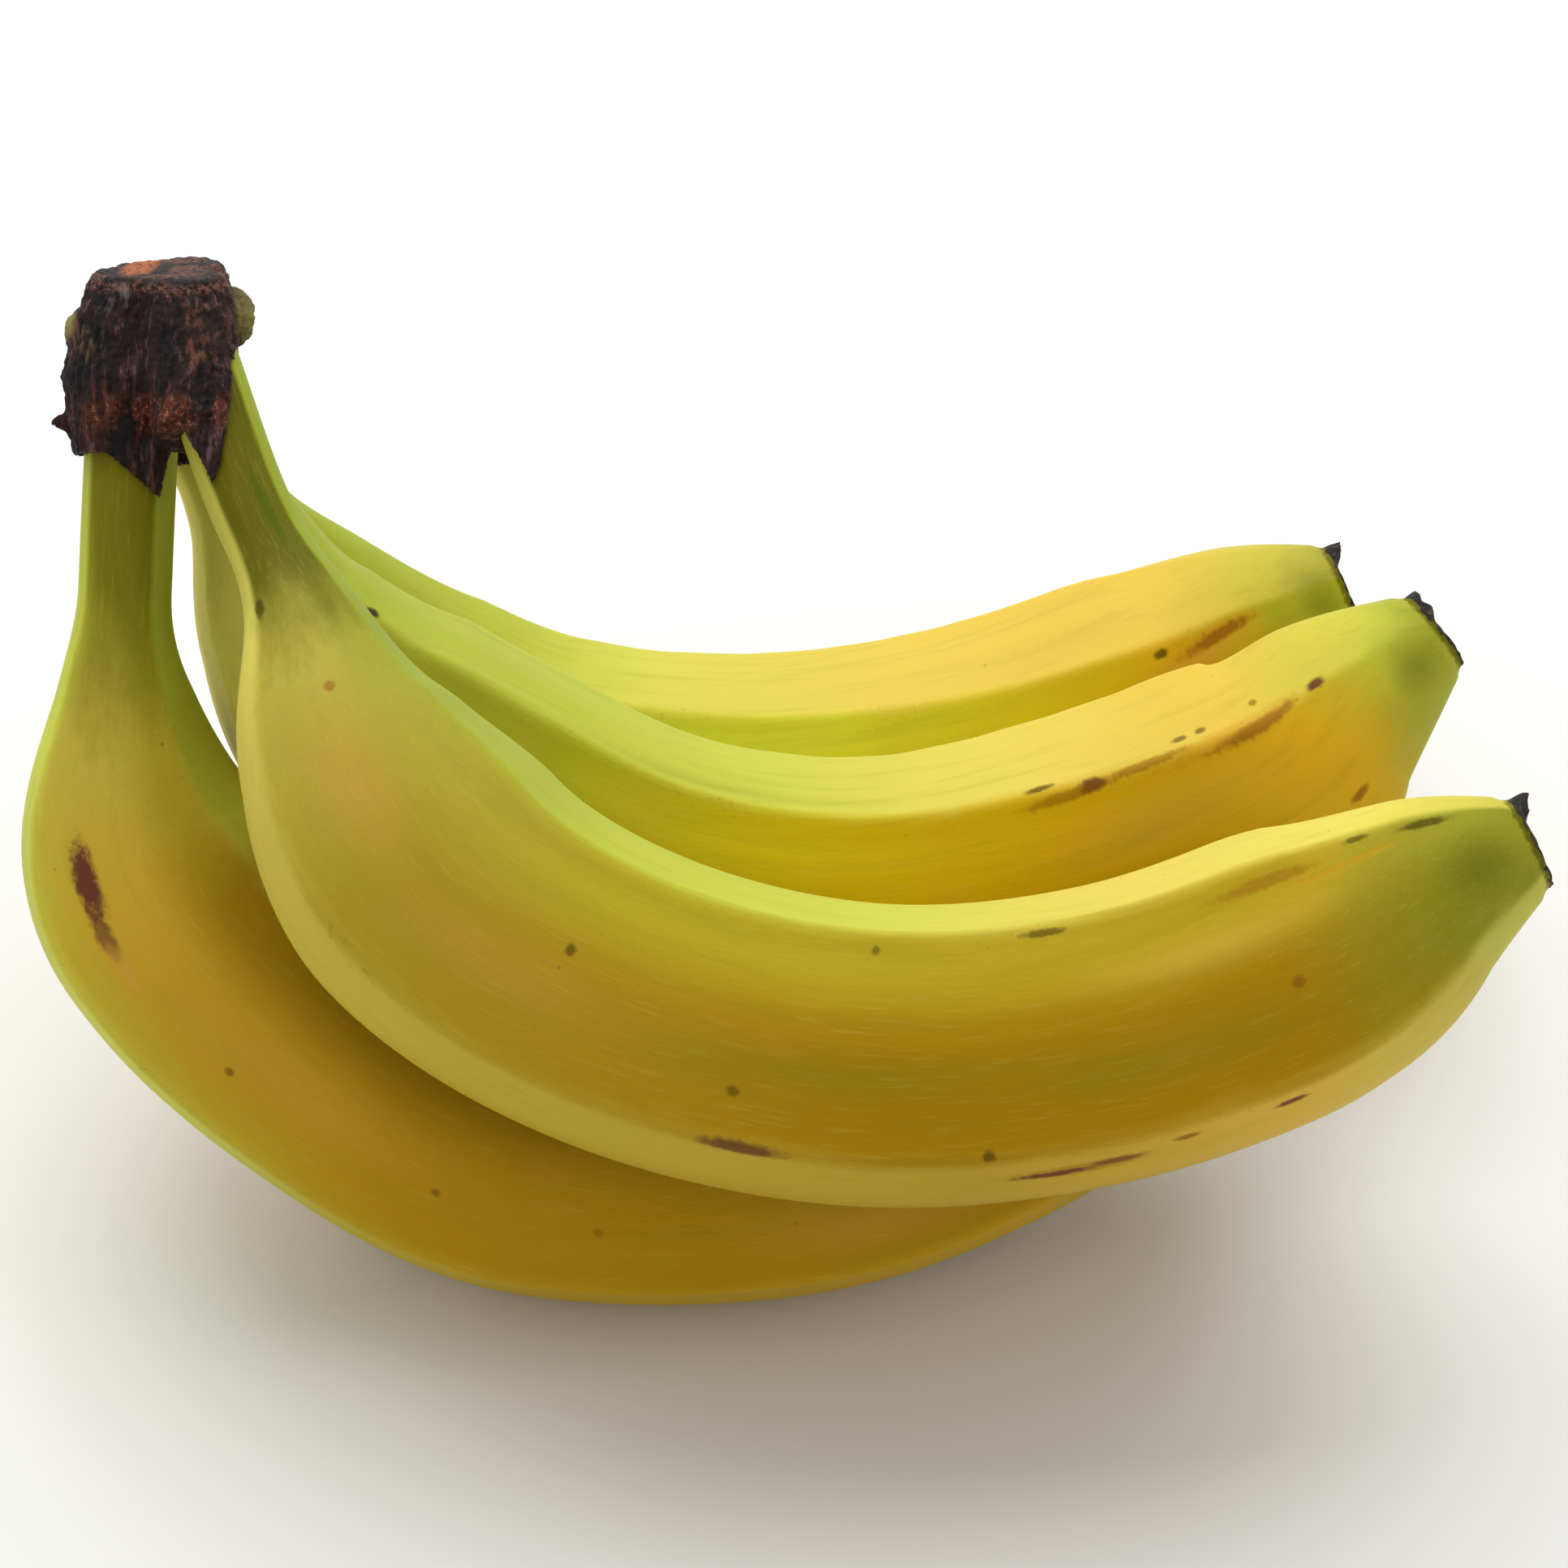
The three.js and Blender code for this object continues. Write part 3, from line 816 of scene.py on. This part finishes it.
# %% How each face changes along its banana
# top is the hollow side, inner and side are the two halves of each broad side, and low is
# the convex side. Besides its colour, the inner half holds painted shade on the low and the
# middle banana, where the front banana shades them. On the front banana it holds painted light,
# where the light from above falls on the upper half.
FACES = {
    # on this neck the broad sides start dark and the hollow and convex sides light: painted shade
    # and painted highlight over the neck's own green
    "banana_front": dict(
        top=[(0, NECK_GREEN_AND_HIGHLIGHT), (0.2, colour(150, 164, 44)), (0.42, colour(182, 190, 52)),
             (0.6, colour(198, 202, 66)), (0.78, YELLOW), (0.93, colour(226, 212, 86)),
             (1, colour(200, 194, 72))],
        # the inner half is lighter here than the side: painted light from above
        inner=[(0, colour(92, 92, 6)), (0.13, colour(104, 104, 12)), (0.21, colour(164, 160, 52)),
               (0.34, colour(180, 166, 48)), (0.46, colour(186, 166, 34)),
               (0.66, colour(190, 164, 30)), (0.88, colour(190, 160, 26)),
               (0.98, colour(140, 146, 34))],
        side=[(0, colour(92, 88, 6)), (0.13, colour(102, 98, 10)), (0.21, colour(184, 172, 66)),
              (0.32, colour(180, 156, 42)), (0.45, colour(178, 142, 22)),
              (0.62, colour(172, 130, 2)), (0.84, colour(174, 132, 2)),
              (0.97, colour(146, 148, 36))],
        low=[(0, colour(140, 140, 36)), (0.18, colour(226, 214, 96)), (0.4, colour(196, 172, 54)),
             (0.66, colour(192, 158, 46)), (0.84, colour(216, 176, 56)),
             (0.98, colour(196, 192, 78))]),
    # on this neck the broad sides start dark and the hollow and convex sides light: painted shade
    # and painted highlight over the neck's own green
    "banana_low": dict(
        top=[(0, NECK_GREEN_AND_HIGHLIGHT), (0.16, colour(150, 154, 36)), (0.34, colour(186, 170, 52)),
             (0.7, GOLD), (0.97, TIP_GREEN)],
        # the inner half is darker here than the side: painted shade from the front banana
        inner=[(0, colour(116, 108, 14)), (0.1, colour(122, 118, 16)),
               (0.18, colour(166, 150, 38)), (0.3, colour(162, 126, 8)),
               (0.5, colour(160, 120, 4)),
               (0.85, colour(176, 132, 14)), (0.97, colour(140, 140, 30))],
        side=[(0, colour(116, 106, 12)), (0.09, colour(122, 116, 18)),
              (0.17, colour(186, 168, 60)), (0.27, colour(204, 164, 44)),
              (0.46, colour(188, 145, 16)), (0.62, colour(180, 138, 8)),
              (0.85, colour(190, 148, 20)), (0.97, colour(140, 140, 30))],
        low=[(0, colour(170, 176, 60)), (0.16, colour(204, 212, 74)), (0.3, colour(220, 216, 84)),
             (0.42, colour(188, 164, 44)), (0.58, colour(188, 152, 22)),
             (0.8, colour(196, 158, 34)), (0.97, colour(150, 150, 40))]),
    "banana_middle": dict(
        top=[(0, NECK_GREEN_AND_HIGHLIGHT), (0.3, colour(182, 192, 64)), (0.5, colour(200, 202, 72)),
             (0.68, YELLOW), (0.85, colour(230, 196, 74)), (0.95, colour(204, 200, 68)),
             (1, colour(140, 154, 40))],
        # the inner half is darker near the neck: painted shade from the front banana
        inner=[(0, colour(150, 146, 40)), (0.25, colour(168, 168, 40)),
               (0.36, colour(188, 182, 34)), (0.5, colour(216, 192, 10)),
               (0.7, colour(222, 176, 6)), (0.88, colour(226, 176, 24)),
               (0.96, colour(190, 186, 52)), (1, colour(140, 150, 36))],
        # near the neck the side and convex halves are painted pale: painted light on the shoulder
        # that lies in shade between the front and low bananas' necks
        side=[(0, colour(226, 214, 96)), (0.18, colour(214, 202, 84)),
              (0.34, colour(184, 172, 24)), (0.5, colour(208, 180, 6)),
              (0.72, colour(224, 172, 6)), (0.9, colour(226, 176, 30)),
              (0.98, colour(170, 172, 48))],
        low=[(0, colour(250, 238, 112)), (0.3, colour(250, 238, 112)), (0.45, PALE_EDGE),
             (0.6, colour(206, 168, 20)), (0.85, colour(224, 188, 60)),
             (0.98, colour(180, 184, 60))]),
    "banana_back": dict(
        top=[(0, NECK_GREEN_AND_HIGHLIGHT), (0.26, colour(176, 186, 58)), (0.45, colour(212, 206, 82)),
             (0.65, colour(228, 200, 82)), (0.86, colour(232, 196, 76)),
             (0.97, colour(200, 190, 66)), (1, colour(170, 164, 60))],
        inner=[(0, NECK_GREEN_AND_HIGHLIGHT), (0.25, colour(180, 188, 58)), (0.45, colour(222, 222, 66)),
               (0.6, colour(226, 224, 56)), (0.76, colour(222, 206, 36)),
               (0.88, colour(222, 178, 20)), (0.96, colour(176, 174, 34))],
        side=[(0, NECK_GREEN_AND_HIGHLIGHT), (0.25, colour(180, 188, 58)), (0.45, colour(222, 222, 66)),
              (0.6, colour(226, 224, 56)), (0.76, colour(216, 200, 36)),
              (0.88, colour(222, 172, 20)), (0.96, colour(176, 174, 34))],
        low=[(0, NECK_GREEN_AND_HIGHLIGHT), (0.45, colour(198, 196, 50)), (0.75, colour(190, 160, 24)),
             (0.9, colour(186, 138, 12)), (0.98, colour(130, 134, 22))]),
}

# %% What marks each banana
# soft patches: colour, mm along, degrees round, half length, half width, strength
PATCHES = {
    "banana_front": [
        (BLUSH, 64, 90, 14, 7, 0.4), (BLUSH, 90, 84, 26, 6, 0.25),
        (OLIVE, 132, 84, 36, 5, 0.4), (OLIVE, 172, 80, 28, 5, 0.4),
        (GOLD, 182, 118, 26, 4, 0.4), (OLIVE, 208, 92, 15, 11, 0.5),
        (DEEP_GREEN, 215, 95, 7, 6, 0.5), (DEEP_GREEN, 34, 120, 16, 2.5, 0.4)],
    "banana_low": [
        (LIME, 66, 24, 62, 13, 0.8), (LIME, 30, 40, 26, 3, 0.4),
        (BLUSH, 96, 78, 30, 6, 0.3),
        (BLUSH, 168, 62, 22, 5, 0.3)],
    "banana_middle": [
        (BLUSH, 160, 96, 26, 6, 0.35), (DEEP_GREEN, 200, 80, 6, 6, 0.45),
        (OLIVE, 88, 138, 34, 3, 0.3)],
    "banana_back": [
        (BLUSH, 172, 88, 16, 3, 0.5), (DEEP_GREEN, 193, 80, 5, 6, 0.35)],
}
# small marks: colour, mm along, degrees round, half length, half width, strength
MARKS = {
    "banana_front": [
        (DEEP_GREEN, 25, 116, 6.5, 0.7, 0.9), (SPECK, 38, 58, 1.6, 0.7, 0.8),
        (SCUFF, 52, 99, 0.8, 0.7, 0.6), (SPECK, 98, 104, 0.8, 0.7, 0.7),
        (SPECK, 122, 72, 0.8, 0.6, 0.6), (SPECK, 137, 137, 0.6, 0.5, 0.6),
        (SPECK, 150, 55, 0.8, 0.6, 0.7), (SCUFF, 190, 90, 0.9, 0.7, 0.8),
        (BRUISE, 124, 53, 4.8, 0.8, 0.8), (SCUFF, 160, 36, 8, 1.4, 0.45),
        (BRUISE, 157, 35, 4.6, 0.7, 0.85), (BRUISE, 164, 38, 3.2, 0.8, 0.7),
        (SCUFF, 172, 44, 1.6, 0.7, 0.85), (BRUISE, 184, 43, 2.1, 0.7, 0.9),
        (SPECK, 160, 140, 3.2, 0.4, 0.7), (SCUFF, 192, 135, 8, 0.7, 0.5),
        (ORANGE_LINE, 203, 130, 12, 0.5, 0.4), (SPECK, 205, 140, 1.6, 0.4, 0.7),
        (SPECK, 212, 136, 3, 0.6, 0.8)],
    "banana_low": [
        (BRUISE, 56.5, 66, 5, 1.5, 0.95), (BRUISE, 62.5, 64, 3.6, 1, 0.7),
        (BLUSH, 67, 63, 3, 1, 0.5), (SPECK, 84, 65, 0.7, 0.5, 0.6),
        (SPECK, 114, 69, 0.6, 0.5, 0.5), (SCUFF, 133, 66, 0.6, 0.5, 0.5)],
    "banana_middle": [
        (BLACK_BROWN, 32, 136, 1.0, 0.8, 0.9), (SPECK, 143, 123, 2.4, 0.5, 0.8),
        (BRUISE, 151, 118, 2.4, 0.8, 0.85), (SCUFF, 147, 117, 8, 0.6, 0.6),
        (SPECK, 166, 124, 1.2, 0.5, 0.7), (SPECK, 169.5, 124, 0.9, 0.5, 0.7),
        (SCUFF, 180, 126, 0.9, 0.5, 0.7), (ORANGE_LINE, 176, 115, 16, 1.4, 0.45),
        (SCUFF, 160, 118, 7, 0.6, 0.6), (SCUFF, 178, 113, 9, 0.9, 0.75),
        (BRUISE, 188, 112, 1.2, 0.7, 0.9), (SCUFF, 182, 53, 1.4, 0.6, 0.8)],
    "banana_back": [
        (SPECK, 168, 100, 1.2, 0.6, 0.8), (ORANGE_LINE, 177, 95, 9, 1.3, 0.45),
        (SCUFF, 177, 94, 7, 0.8, 0.8)],
}
print(sum(len(marks) for marks in MARKS.values()), "small marks")


# %% Paint the peels
PEEL_LENGTHWISE = (1, 1, 0.07)
# how many features of each noise lie in a millimetre
BROAD_NOISE = 0.045
STREAK_NOISE = 0.5
THREAD_NOISE = 2.6
EDGE_NOISE = 1.1
FRECKLES = 0.22
FRECKLE_PLACES = 0.12
PORE_NOISE = 3.2
# where one face's colour goes over into the next. The measure for inner and top is 1 on the
# hollow side, and the one for low is 1 on the convex side.
INNER_EDGE = (-0.2, 0.42)
LOW_EDGE = (0.74, 0.87)
TOP_EDGE = (0.52, 0.65)
# how strongly each thing covers what is under it
SHADE_STRENGTH = 0.14
THREAD_STRENGTH = 0.14
BLUSH_STRENGTH = 0.25
RUB_STRENGTH = 0.4
FRECKLE_STRENGTH = 0.5
DRIED_STRENGTH = 0.7
# millimetres that the ovals of patches and marks reach in and out through the peel
PATCH_DEPTH = 9
MARK_DEPTH = 3
# a strength and a depth in metres, here and for the other materials
PEEL_BUMP = (0.25, 0.0004)
PEEL_ROUGHNESS = 0.44
PEEL_FINISH = {"Subsurface Weight": 0.06, "Subsurface Radius": (1.0, 0.6, 0.05),
               "Subsurface Scale": 0.0015, "Specular IOR Level": 0.07}


def place_on(banana, along, angle):
    """A point of the peel on the straight banana: millimetres across, across and along."""
    length = length_of(banana)
    at = np.array(along, float)
    ridge_angle = angle - twist_at(banana, at, length)
    radius = float(girth(banana, at, length)
                   * lerp(1, ridged(ridge_angle), ridge_share(banana, at, length)))
    turn = math.radians(angle)
    return (math.cos(turn) * radius, math.sin(turn) * radius, along)


def paint_peel(name, banana):
    paint = Paint(name + "_peel")
    place = paint.attribute("straight")
    facing = paint.attribute("facing")
    ridge = paint.attribute("ridge", "Fac")
    along = paint.coordinate(place, "Z")
    convex = paint.coordinate(facing, "X")
    share = paint.coordinate(facing, "Z")
    length = length_of(banana)
    lengthwise = paint.stretched(place, PEEL_LENGTHWISE)
    broad = paint.noise(place, BROAD_NOISE, 3)
    streaks = paint.noise(lengthwise, STREAK_NOISE, 4, 0.6)
    threads = paint.noise(lengthwise, THREAD_NOISE, 3, 0.6)
    edge_noise = paint.noise(place, EDGE_NOISE, 4, 0.65)

    drift = (streaks - 0.5) * 0.05 + (broad - 0.5) * 0.12
    faces = {face: paint.node("ShaderNodeValToRGB", {"stops": stops},
                              {"Fac": share + drift}, output="Color")
             for face, stops in FACES[name].items()}
    edge_drift = (broad - 0.5) * 0.1 + (streaks - 0.5) * 0.06
    # the inner half's ramp carries painted light and shade as well as the peel's colour
    tint = paint.mix(faces["side"], faces["inner"], (edge_drift - convex).smooth(*INNER_EDGE))
    tint = paint.mix(tint, faces["low"], (convex + edge_drift).smooth(*LOW_EDGE))
    tint = paint.mix(tint, faces["top"], (edge_drift - convex).smooth(*TOP_EDGE))
    for patch_colour, at, angle, half_length, half_width, strength in PATCHES[name]:
        soft = paint.oval(place, place_on(banana, at, angle), (0, 0, math.radians(angle)),
                          (max(half_width, PATCH_DEPTH), half_width, half_length),
                          ragged=0.9, edge=1, wobble=broad * 0.5 + streaks * 0.5)
        tint = paint.mix(tint, patch_colour, soft * strength)
    tint = paint.mix(tint, OLIVE, (1 - streaks.smooth(0.3, 0.52)) * SHADE_STRENGTH)
    tint = paint.mix(tint, PALE_EDGE, threads.smooth(0.52, 0.75) * THREAD_STRENGTH)
    blushing = broad.smooth(0.55, 0.75) * streaks.smooth(0.4, 0.7)
    tint = paint.mix(tint, BLUSH, blushing * BLUSH_STRENGTH)
    rubbed = ridge * edge_noise.smooth(0.56, 0.7) * broad.smooth(0.5, 0.62)
    tint = paint.mix(tint, SCUFF, rubbed * RUB_STRENGTH)

    cells = paint.node("ShaderNodeTexVoronoi", {}, {"Vector": place, "Scale": FRECKLES})
    chance = paint.noise(place, FRECKLE_PLACES, 2)
    freckle = cells.smooth(0.07, 0.03) * chance.smooth(0.54, 0.62)
    tint = paint.mix(tint, SPECK, freckle * FRECKLE_STRENGTH)
    marked = freckle
    for mark_colour, at, angle, half_length, half_width, strength in MARKS[name]:
        spot = paint.oval(place, place_on(banana, at, angle), (0, 0, math.radians(angle)),
                          (MARK_DEPTH + half_width, half_width * 1.5, half_length * 1.3),
                          ragged=0.9, edge=0.6, wobble=edge_noise)
        tint = paint.mix(tint, mark_colour, spot * strength)
        marked = marked.larger(spot)
    dried = (along + (edge_noise - 0.5) * 1.5).smooth(length - 1.1, length - 0.5)
    tint = paint.mix(tint, SPECK, dried * DRIED_STRENGTH)

    pores = paint.noise(place, PORE_NOISE, 2, 0.6)
    height = threads * 0.35 + streaks * 0.4 + pores * 0.25 - marked * 0.35
    roughness = PEEL_ROUGHNESS + streaks * 0.16 + marked * 0.2 + dried * 0.3
    return paint.finish(**{"Base Color": tint, "Roughness": roughness,
                           "Normal": paint.bump(height, *PEEL_BUMP), **PEEL_FINISH})


for name, peel in peels.items():
    peel.data.materials.append(paint_peel(name, BANANAS[name]))
    print(peel.name, "is painted with", len(peel.data.materials[0].node_tree.nodes), "nodes")

# %% [markdown]
# The dried blossom is nearly black where it is thick, with a few pale brown crumbs, and
# greenish brown where it is only a skin and the green of the tip shows through.

# %% Paint the blossom ends
THIN_OLIVE = colour(66, 58, 26)
THIN_BLACK = colour(30, 22, 18)
LUMP_BLACK = colour(24, 18, 17)
CRUMB_BROWN = colour(92, 76, 62)
CRUMB_NOISE = 0.6
BLOSSOM_BUMP = (0.6, 0.0005)
BLOSSOM_ROUGHNESS = 0.85

paint = Paint("dried_blossom")
place = paint.attribute("straight")
crumbs = paint.noise(place, CRUMB_NOISE, 3, 0.55)
thickness = paint.attribute("thickness", "Fac")
thin_skin = paint.mix(THIN_OLIVE, THIN_BLACK, crumbs.smooth(0.4, 0.55))
lump_skin = paint.mix(LUMP_BLACK, CRUMB_BROWN, crumbs.smooth(0.54, 0.75))
tint = paint.mix(thin_skin, lump_skin, thickness.smooth(0.3, 0.7))
blossom_material = paint.finish(**{"Base Color": tint, "Roughness": BLOSSOM_ROUGHNESS,
                                   "Normal": paint.bump(crumbs, *BLOSSOM_BUMP)})
for blossom in blossoms.values():
    blossom.data.materials.append(blossom_material)
print(len(blossoms), "blossom ends painted")

# %% [markdown]
# The crown's skin has dried nearly black, and it is reddish brown where fibres have torn
# open. Its crevices, a dark fold on the front and pits in the cut are painted darker still:
# that is painted shade. Its lighter purple and pink strands are partly the fibres' own colour
# and partly painted highlight, and one pale grey patch on the upper left lobe is a painted
# highlight. The two small stumps of fingers that never grew are tan green. The cut on top has
# dried grey, with a pink rim and one orange spot. The place on the hanging bunch says what
# goes where.

# %% Paint the crown
DRIED_SKIN = colour(36, 19, 15)
# near black: painted shade for the crevices, the dark fold and the pits in the cut
CREVICE_SHADE = colour(12, 7, 8)
PURPLE_BROWN = colour(104, 70, 70)
RED_BROWN = colour(108, 46, 18)
WARM_BROWN = colour(112, 70, 44)
# pink flecks that are partly a painted highlight on the fibres
PINK_FLECK_AND_HIGHLIGHT = colour(196, 132, 108)
OLD_OLIVE = colour(132, 118, 60)
TAN_GREEN = colour(160, 150, 84)
# pale grey: a painted highlight on the upper left lobe, and one more pale grey patch above it
PALE_GREY_AND_HIGHLIGHT = colour(134, 126, 120)
CUT_ORANGE = colour(190, 112, 68)
CUT_GREY = colour(58, 52, 50)
CUT_PINK = colour(156, 104, 84)
CUT_HEIGHT = 13.7
CUT_TILT = 13
CUT_SLOPE = math.tan(math.radians(CUT_TILT))
# ovals on the hanging crown, each with its middle and its half sizes in millimetres
STUMPS = [((9.6, -7, 6.4), (3.8, 4.2, 4.6)), ((-12, -9, 5), (2.2, 5, 2.6))]
TORN_BAND = ((1, -16, -7), (22, 16, 3.4))
ORANGE_SPOT = ((-3.8, 0, 13), (2.7, 14, 7))
# the same on the side towards the camera, with a colour before and a strength after
CROWN_TINTS = [
    (OLD_OLIVE, (-8.5, -16, 2.5), (3, 9, 5), 0.55),
    (PURPLE_BROWN, (-2.4, -19, -1), (1.3, 9, 9), 0.9),
    (WARM_BROWN, (6, -17, 2.5), (3, 9, 6.5), 0.85),
    # a dark fold on the front: painted shade
    (CREVICE_SHADE, (1.1, -20, 2), (1.9, 9, 6), 0.8),
    # the first pale grey is a painted highlight on the upper left lobe; the second is a pale grey
    # patch just above it
    (PALE_GREY_AND_HIGHLIGHT, (-6.6, -14, 7.2), (2.2, 7, 1), 0.7),
    (PALE_GREY_AND_HIGHLIGHT, (-4.5, -13, 9), (2, 7, 1.8), 0.5),
    (PURPLE_BROWN, (7.6, -20, -10), (2, 6, 7), 0.8)]
STRAND_LENGTHWISE = (1, 1, 0.14)
STRAND_NOISE = 0.9
BAND_NOISE = 0.3
GRIT_NOISE = 1.6
CROWN_BUMP = (0.9, 0.0008)
CROWN_ROUGHNESS = 0.55
CROWN_SHINE = 0.25
UNTURNED = (0, 0, 0)

paint = Paint("crown_fibre")
place = paint.attribute("grain")
raised = paint.attribute("relief", "Fac")
down_fibres = paint.stretched(place, STRAND_LENGTHWISE)
strands = paint.noise(down_fibres, STRAND_NOISE, 5, 0.65)
bands = paint.noise(down_fibres, BAND_NOISE, 3, 0.5)
grit = paint.noise(place, GRIT_NOISE, 4, 0.7)
# lit marks the lighter strands, whose purple and pink are partly the fibres' own colour and partly
# painted highlight
lit = strands.smooth(0.44, 0.6)
tint = paint.mix(DRIED_SKIN, PURPLE_BROWN, strands.smooth(0.5, 0.64) * 0.8)
tint = paint.mix(tint, PINK_FLECK_AND_HIGHLIGHT, strands.smooth(0.58, 0.7) * grit.smooth(0.45, 0.6) * 0.5)
tint = paint.mix(tint, RED_BROWN, bands.smooth(0.52, 0.64) * lit * 0.5)
for tint_colour, middle, half_sizes, strength in CROWN_TINTS:
    area = paint.oval(place, middle, UNTURNED, half_sizes, ragged=0.7, edge=0.8, wobble=bands)
    tint = paint.mix(tint, tint_colour, area * lit * strength)
band_middle, band_size = TORN_BAND
torn_band = paint.oval(place, band_middle, UNTURNED, band_size, ragged=1.2, edge=0.6,
                       wobble=grit * 0.5 + bands * 0.5)
tint = paint.mix(tint, RED_BROWN, torn_band * grit.smooth(0.35, 0.55) * 0.8)
# pink flecks in the torn band: partly painted highlight
tint = paint.mix(tint, PINK_FLECK_AND_HIGHLIGHT, torn_band * grit.smooth(0.54, 0.66) * strands.smooth(0.4, 0.55))
# painted shade in the crevices, where the relief sinks
tint = paint.mix(CREVICE_SHADE, tint, (raised + (grit - 0.5) * 0.4).smooth(-0.7, 0.05))
for stump_middle, stump_size in STUMPS:
    stump = paint.oval(place, stump_middle, UNTURNED, stump_size, ragged=0.8, edge=0.6,
                       wobble=grit * 0.5 + strands * 0.5)
    tint = paint.mix(tint, TAN_GREEN, stump * 0.9)
above_rim = paint.coordinate(place, "Z") - paint.coordinate(place, "Y") * CUT_SLOPE - CUT_HEIGHT
cut = (above_rim + (grit - 0.5) * 0.6).smooth(-1.1, -0.5)
rim = (above_rim + (grit - 0.5) * 1.2).smooth(-2.2, -1.2)
spot_middle, spot_size = ORANGE_SPOT
orange_spot = paint.oval(place, spot_middle, UNTURNED, spot_size, ragged=1.2, edge=0.4,
                         wobble=grit)
cut_tint = paint.mix(CUT_GREY, CUT_PINK, bands.smooth(0.5, 0.6) * 0.5)
cut_tint = paint.mix(cut_tint, CUT_ORANGE, orange_spot)
# dark pits in the cut: painted shade
cut_tint = paint.mix(cut_tint, CREVICE_SHADE, grit.smooth(0.5, 0.36) * 0.9)
tint = paint.mix(tint, CUT_PINK, rim * grit.smooth(0.42, 0.6) * 0.7)
tint = paint.mix(tint, cut_tint, cut)
crown.data.materials.append(paint.finish(**{
    "Base Color": tint, "Roughness": CROWN_ROUGHNESS + grit * 0.25,
    "Specular IOR Level": CROWN_SHINE,
    "Normal": paint.bump(strands + grit * 0.6, *CROWN_BUMP)}))
print("crown painted")
